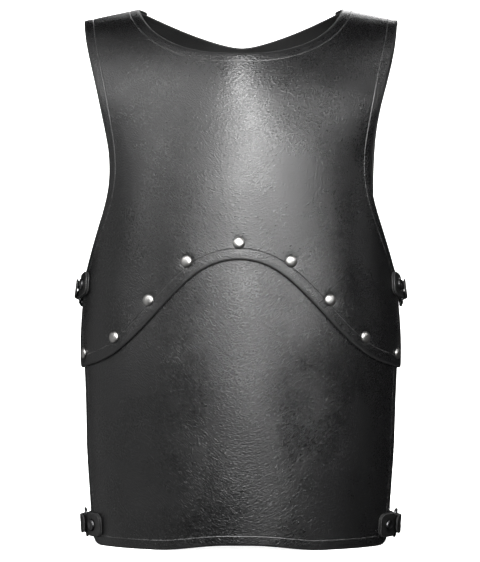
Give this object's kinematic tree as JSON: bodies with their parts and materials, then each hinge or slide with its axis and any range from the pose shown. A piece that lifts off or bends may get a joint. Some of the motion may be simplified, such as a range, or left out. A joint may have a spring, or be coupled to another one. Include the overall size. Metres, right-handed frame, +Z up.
{
  "type": "leather armour cuirass",
  "caption": "Sleeveless moulded leather body armour: breast plate with arched edge, riveted belly plate and back plate, closed at the sides by buckled straps.",
  "frame": {"origin": "middle of the bounding box's base, at the level of the hem", "axes": "+Z up the wearer's body, +X to the right in the picture (the wearer's left), -Y out of the front"},
  "size_m": [0.3588, 0.2376, 0.5754],
  "materials": {
    "breast_leather": "glossy black grained leather, waxed",
    "belly_leather": "glossy black grained leather, waxed",
    "back_leather": "glossy black grained leather, waxed, plainer inside",
    "strap_leather": "black bridle leather with burnished edges",
    "rivet_metal": "polished nickel plate, domed",
    "dark_metal": "dark nickel plate, worn bright at the edges"
  },
  "bodies": {
    "root": {"breast_plate": "breast_leather", "belly_plate": "belly_leather", "back_plate": "back_leather", "arch_rivet_1": "rivet_metal", "arch_rivet_2": "rivet_metal", "arch_rivet_3": "rivet_metal", "arch_rivet_4": "rivet_metal", "arch_rivet_5": "rivet_metal", "arch_rivet_6": "rivet_metal", "arch_rivet_7": "rivet_metal", "arch_rivet_8": "rivet_metal", "arch_rivet_9": "rivet_metal", "shoulder_rivet_right_1": "rivet_metal", "shoulder_rivet_right_2": "rivet_metal", "shoulder_rivet_left_1": "rivet_metal", "shoulder_rivet_left_2": "rivet_metal", "upper_right_chape": "strap_leather", "upper_right_buckle": "dark_metal", "upper_right_prong": "dark_metal", "upper_right_billet": "strap_leather", "upper_right_tab_rivet": "dark_metal", "upper_right_billet_rivet": "dark_metal", "upper_left_chape": "strap_leather", "upper_left_buckle": "dark_metal", "upper_left_prong": "dark_metal", "upper_left_billet": "strap_leather", "upper_left_tab_rivet": "dark_metal", "upper_left_billet_rivet": "dark_metal", "lower_right_chape": "strap_leather", "lower_right_buckle": "dark_metal", "lower_right_prong": "dark_metal", "lower_right_billet": "strap_leather", "lower_right_tab_rivet": "dark_metal", "lower_right_billet_rivet": "dark_metal", "lower_left_chape": "strap_leather", "lower_left_buckle": "dark_metal", "lower_left_prong": "dark_metal", "lower_left_billet": "strap_leather", "lower_left_tab_rivet": "dark_metal", "lower_left_billet_rivet": "dark_metal"}
  },
  "joints": []
}
